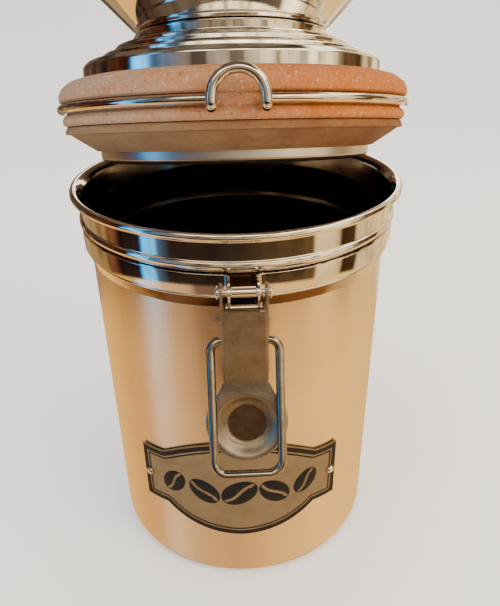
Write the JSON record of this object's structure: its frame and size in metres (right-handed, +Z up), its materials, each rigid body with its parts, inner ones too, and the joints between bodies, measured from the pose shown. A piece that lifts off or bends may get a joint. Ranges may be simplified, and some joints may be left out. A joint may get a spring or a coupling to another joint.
{
  "type": "clamp-lid canister",
  "caption": "Cylindrical steel coffee canister with a wire-hinged stepped lid standing ajar, a flared knob, a clamp band with an over-centre bail latch, and a curved label plate.",
  "frame": {"origin": "centre of the flat base, on the can's axis, at the surface the can stands on", "axes": "+Z up along the can's axis, front with the latch on -Y, +X to the viewer's right"},
  "size_m": [0.1224, 0.1499, 0.2224],
  "materials": {
    "body_steel": "fine satin grain running round the can, warm reflections, light scuffs",
    "mirror_steel": "polished, mirror-like stainless steel with light handling marks",
    "pin_steel": "bright turned steel",
    "wire_steel": "bright drawn steel wire",
    "lever_steel": "dull, tarnished stamped steel with a speckled surface",
    "plug_steel": "smooth satin pressed steel",
    "plate_bronze": "satin bronze field with dark border lines",
    "rim_silicone": "matte, dusty, speckled silicone",
    "seal_silicone": "matte tan silicone lip"
  },
  "bodies": {
    "can": {"can_body": "body_steel", "neck_collar": "mirror_steel", "clamp_band": "mirror_steel", "hinge_bracket": "mirror_steel", "bracket_rivet_left": "pin_steel", "bracket_rivet_right": "pin_steel", "band_tie_pin": "pin_steel", "pivot_sleeve": "pin_steel", "lever_pivot_pin": "pin_steel", "label_plate": "plate_bronze", "label_rivet_left": "pin_steel", "label_rivet_right": "pin_steel"},
    "lid": {"lid_wire": "wire_steel", "lid_rim": "rim_silicone", "lid_seal": "seal_silicone", "lid_plug": "plug_steel", "lid_dome": "mirror_steel", "knob": "mirror_steel", "knob_nut": "pin_steel", "knob_washer": "pin_steel", "knob_screw": "pin_steel"},
    "lever": {"latch_lever": "lever_steel"},
    "bail": {"latch_bail": "wire_steel"}
  },
  "joints": [
    {"name": "lid_hinge", "type": "hinge", "parent": "can", "child": "lid", "pos_m": [0, 0.065, 0.1333], "axis": [-1, 0, 0], "range_deg": [-12.7, 100]},
    {"name": "lever_pivot", "type": "hinge", "parent": "can", "child": "lever", "pos_m": [0, -0.0628, 0.1342], "axis": [-1, 0, 0], "range_deg": [0, 100]},
    {"name": "bail_pivot", "type": "hinge", "parent": "lever", "child": "bail", "pos_m": [0, -0.061, 0.1168], "axis": [-1, 0, 0], "range_deg": [0, 75]}
  ]
}
